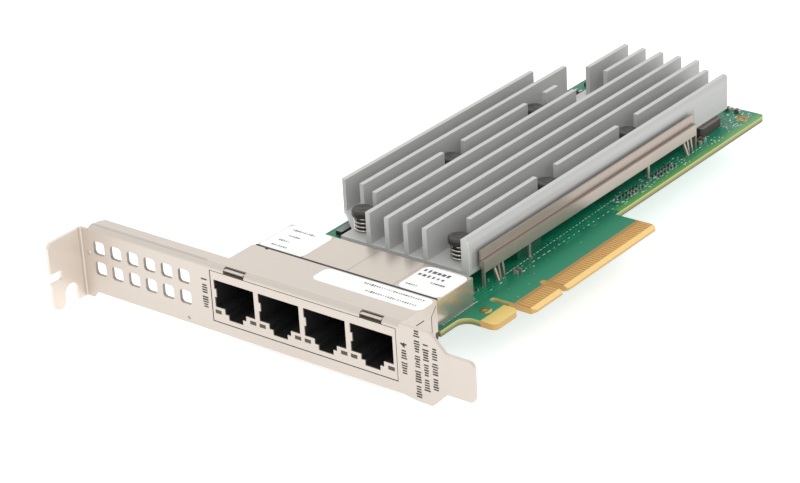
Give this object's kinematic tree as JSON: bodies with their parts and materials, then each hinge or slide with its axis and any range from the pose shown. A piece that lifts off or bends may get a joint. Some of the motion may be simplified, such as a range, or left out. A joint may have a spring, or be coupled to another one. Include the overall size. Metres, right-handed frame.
{
  "type": "network interface card",
  "caption": "Expansion card with a row of network sockets on a slotted steel bracket, a finned heat sink held by spring pins, a long side rail and a gold edge connector.",
  "frame": {"origin": "centre of the bounding box in X and Y, at the height of the bracket's lowest edge", "axes": "+X along the bracket from the screw tab to the tongue, +Y from the bracket's outer face back along the board, +Z out of the board's component side"},
  "size_m": [0.12, 0.1704, 0.0237],
  "materials": {
    "solder_mask": "satin green solder mask over glass-fibre laminate",
    "gold": "gold plating, polished",
    "plated_steel": "nickel plated, satin",
    "shield_steel": "nickel plated, satin",
    "rail_steel": "nickel plated, satin",
    "light_window": "dark clear plastic",
    "sink_aluminium": "matt, as extruded",
    "socket_black": "matt black moulding",
    "pin_black": "satin black moulding",
    "spring_steel": "bright",
    "chip_black": "matt black moulding",
    "gap_pad": "soft and matt",
    "ferrite": "matt dark grey",
    "ceramic": "matt",
    "resistor_black": "matt"
  },
  "bodies": {
    "root": {"board": "solder_mask", "bracket": "plated_steel", "capacitors": "ceramic", "controller_chip": "chip_black", "crystal": "spring_steel", "edge_contacts": "gold", "heat_sink": "sink_aluminium", "hole_plating": "gold", "pin_spring_1": "spring_steel", "pin_spring_2": "spring_steel", "pin_spring_3": "spring_steel", "pin_spring_4": "spring_steel", "pin_spring_5": "spring_steel", "pin_spring_6": "spring_steel", "port_body_1": "socket_black", "port_body_2": "socket_black", "port_body_3": "socket_black", "port_body_4": "socket_black", "port_chip_1": "chip_black", "port_chip_2": "chip_black", "port_chip_3": "chip_black", "port_chip_4": "chip_black", "port_front": "plated_steel", "port_lights": "light_window", "port_shield_1": "shield_steel", "port_shield_2": "shield_steel", "port_shield_3": "shield_steel", "port_shield_4": "shield_steel", "port_wires_1": "gold", "port_wires_2": "gold", "port_wires_3": "gold", "port_wires_4": "gold", "power_inductor": "ferrite", "regulator": "chip_black", "resistors": "resistor_black", "side_rail": "rail_steel", "spring_pin_1": "pin_black", "spring_pin_2": "pin_black", "spring_pin_3": "pin_black", "spring_pin_4": "pin_black", "spring_pin_5": "pin_black", "spring_pin_6": "pin_black", "thermal_pads": "gap_pad"}
  },
  "joints": []
}
